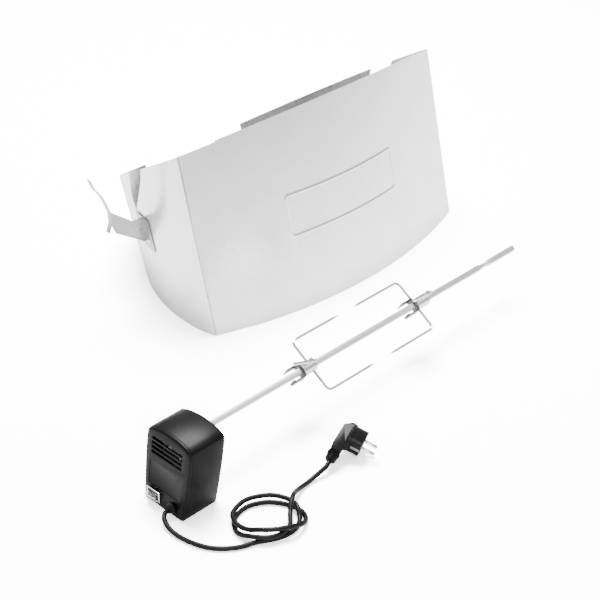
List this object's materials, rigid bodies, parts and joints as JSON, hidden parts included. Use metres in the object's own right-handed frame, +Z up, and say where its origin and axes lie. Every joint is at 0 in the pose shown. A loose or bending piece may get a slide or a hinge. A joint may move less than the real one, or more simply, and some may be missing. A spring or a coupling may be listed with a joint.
{
  "type": "rotisserie spit roaster",
  "caption": "Rotisserie set for a round kettle grill: leaning steel collar with spit notches, square spit with sliding forks, geared motor unit, mains cord and angled plug.",
  "frame": {"origin": "on the floor under the middle of the set, cord and plug left out", "axes": "+X along the spit away from the motor, +Y towards the back of the collar, +Z up"},
  "size_m": [0.8799, 0.743, 0.3022],
  "materials": {
    "stainless": "satin rolled stainless sheet",
    "chrome": "bright plated steel",
    "dark_steel": "dark steel",
    "black_plastic": "fine textured moulding",
    "black_rubber": "smooth matt",
    "white_plastic": "natural moulding",
    "copper": "enamelled winding",
    "clear_rubber": "clear flexible moulding",
    "brass": "bright"
  },
  "bodies": {
    "collar": {"front_panel": "stainless", "left_panel": "stainless", "right_panel": "stainless", "rear_bridge": "stainless", "seam_screw_left_low": "chrome", "seam_screw_left_high": "chrome", "seam_screw_right_low": "chrome", "seam_screw_right_high": "chrome", "seam_nut_left_low": "chrome", "seam_nut_left_high": "chrome", "seam_nut_right_low": "chrome", "seam_nut_right_high": "chrome", "bridge_rivet_left_low": "chrome", "bridge_rivet_left_high": "chrome", "bridge_rivet_right_low": "chrome", "bridge_rivet_right_high": "chrome", "motor_bracket": "stainless", "bracket_rivet_front": "chrome", "bracket_rivet_rear": "chrome"},
    "motor_unit": {"front_cover": "black_plastic", "rear_housing": "black_plastic", "case_screw_1": "chrome", "case_screw_2": "chrome", "case_screw_3": "chrome", "case_screw_4": "chrome", "hanger_plate": "stainless", "output_bushing": "dark_steel", "gear_plate_front": "stainless", "gear_plate_rear": "stainless", "motor_stator": "dark_steel", "motor_coil": "copper", "terminal_block": "white_plastic", "switch_bezel": "chrome", "switch_body": "black_plastic", "switch_boot": "clear_rubber", "cord_gland": "black_rubber", "power_cord": "black_rubber", "plug_body": "black_rubber", "plug_pin_low": "chrome", "plug_pin_high": "chrome", "earth_clip_far": "brass", "earth_clip_near": "brass"},
    "drive_output": {"output_gear": "white_plastic", "drive_socket": "dark_steel"},
    "idler_1": {"idler_gear_1": "white_plastic"},
    "idler_2": {"idler_gear_2": "white_plastic"},
    "rotor": {"motor_rotor": "dark_steel"},
    "rocker": {"switch_rocker": "black_plastic"},
    "spit": {"spit_rod": "chrome"},
    "fork_1": {"fork_1_prongs": "chrome", "fork_1_bracket": "dark_steel"},
    "fork_1_screw": {"fork_1_thumbscrew": "chrome"},
    "fork_2": {"fork_2_prongs": "chrome", "fork_2_bracket": "dark_steel"},
    "fork_2_screw": {"fork_2_thumbscrew": "chrome"}
  },
  "joints": [
    {"name": "motor_lift", "type": "slide", "parent": "collar", "child": "motor_unit", "axis": [0, 0, 1], "range_m": [0, 0.3]},
    {"name": "spit_turn", "type": "hinge", "parent": "motor_unit", "child": "drive_output", "pos_m": [-0.3717, -0.2588, 0.0776], "axis": [1, 0, 0], "continuous": true},
    {"name": "idler_1_turn", "type": "hinge", "parent": "motor_unit", "child": "idler_1", "pos_m": [-0.3827, -0.2761, 0.0676], "axis": [1, 0, 0], "continuous": true},
    {"name": "idler_2_turn", "type": "hinge", "parent": "motor_unit", "child": "idler_2", "pos_m": [-0.3887, -0.2661, 0.0503], "axis": [1, 0, 0], "continuous": true},
    {"name": "rotor_turn", "type": "hinge", "parent": "motor_unit", "child": "rotor", "pos_m": [-0.4067, -0.2774, 0.0338], "axis": [1, 0, 0], "continuous": true},
    {"name": "switch_rock", "type": "hinge", "parent": "motor_unit", "child": "rocker", "pos_m": [-0.42288, -0.2539, 0.015], "axis": [0, 0, -1], "range_deg": [0, 12]},
    {"name": "spit_pull", "type": "slide", "parent": "drive_output", "child": "spit", "axis": [1, 0, 0], "range_m": [0, 0.05]},
    {"name": "fork_1_slide", "type": "slide", "parent": "spit", "child": "fork_1", "axis": [1, 0, 0], "range_m": [-0.15, 0.012]},
    {"name": "fork_2_slide", "type": "slide", "parent": "spit", "child": "fork_2", "axis": [1, 0, 0], "range_m": [-0.012, 0.1]},
    {"name": "fork_1_screw_turn", "type": "hinge", "parent": "fork_1", "child": "fork_1_screw", "pos_m": [-0.1584, -0.2588, 0.0776], "axis": [0, -0.5299, 0.848], "range_deg": [0, 720]},
    {"name": "fork_2_screw_turn", "type": "hinge", "parent": "fork_2", "child": "fork_2_screw", "pos_m": [0.0778, -0.2588, 0.0776], "axis": [0, -0.5299, 0.848], "range_deg": [0, 720]}
  ],
  "couplings": [
    {"joint": "idler_1_turn", "follows": "spit_turn", "ratio": -4},
    {"joint": "idler_2_turn", "follows": "spit_turn", "ratio": 16},
    {"joint": "rotor_turn", "follows": "spit_turn", "ratio": -64}
  ]
}
